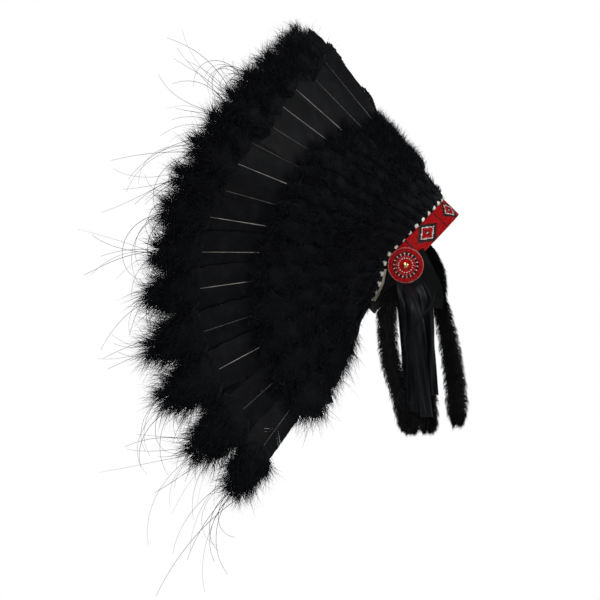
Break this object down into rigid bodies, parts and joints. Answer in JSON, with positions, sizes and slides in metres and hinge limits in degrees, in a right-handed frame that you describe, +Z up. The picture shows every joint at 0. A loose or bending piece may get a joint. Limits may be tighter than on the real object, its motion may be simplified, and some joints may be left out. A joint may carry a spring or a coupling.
{
  "type": "feathered headdress",
  "caption": "Black feathered headdress: a tall swept-back fan of feathers on a red beaded brow band, with a round beaded rosette at each temple and hanging fur strips and ribbons.",
  "frame": {"origin": "middle of the head opening, on the plane of the loop's lower edge, where a head holds the headdress", "axes": "+X is the wearer's front, +Z is up, and -Y is the wearer's right side; the loop round the head leans 45.5 degrees, front high and back low"},
  "size_m": [0.5812, 0.7529, 0.8223],
  "materials": {
    "black_felt": "matt felt",
    "red_beadwork": "woven seed beads",
    "white_beads": "satin",
    "beige_cord": "twisted cord",
    "black_feather": "feather, satin blade and soft marabou",
    "brass": "polished",
    "black_fur": "rabbit fur",
    "black_satin": "satin ribbon"
  },
  "bodies": {
    "root": {"crown_strip": "black_felt", "brow_band": "red_beadwork", "lacing_beads": "white_beads", "edge_cord_right": "beige_cord", "edge_cord_left": "beige_cord", "rosette_right": "red_beadwork", "rosette_left": "red_beadwork", "rosette_stud_right": "brass", "rosette_stud_left": "brass", "fur_rear_right": "black_fur", "fur_middle_right": "black_fur", "fur_rear_left": "black_fur", "fur_front_left": "black_fur", "ribbon_rear_right": "black_satin", "ribbon_middle_right": "black_satin", "ribbon_front_right": "black_satin", "ribbon_rear_left": "black_satin", "ribbon_middle_left": "black_satin", "feather_01": "black_feather", "feather_02": "black_feather", "feather_03": "black_feather", "feather_04": "black_feather", "feather_05": "black_feather", "feather_06": "black_feather", "feather_07": "black_feather", "feather_08": "black_feather", "feather_09": "black_feather", "feather_10": "black_feather", "feather_11": "black_feather", "feather_12": "black_feather", "feather_13": "black_feather", "feather_14": "black_feather", "feather_15": "black_feather", "feather_16": "black_feather", "feather_17": "black_feather", "feather_18": "black_feather", "feather_19": "black_feather", "feather_20": "black_feather", "feather_21": "black_feather", "feather_22": "black_feather", "feather_23": "black_feather", "feather_24": "black_feather", "feather_25": "black_feather", "feather_26": "black_feather", "feather_27": "black_feather", "feather_28": "black_feather", "feather_29": "black_feather", "feather_30": "black_feather", "feather_31": "black_feather", "feather_32": "black_feather", "feather_33": "black_feather"}
  },
  "joints": []
}
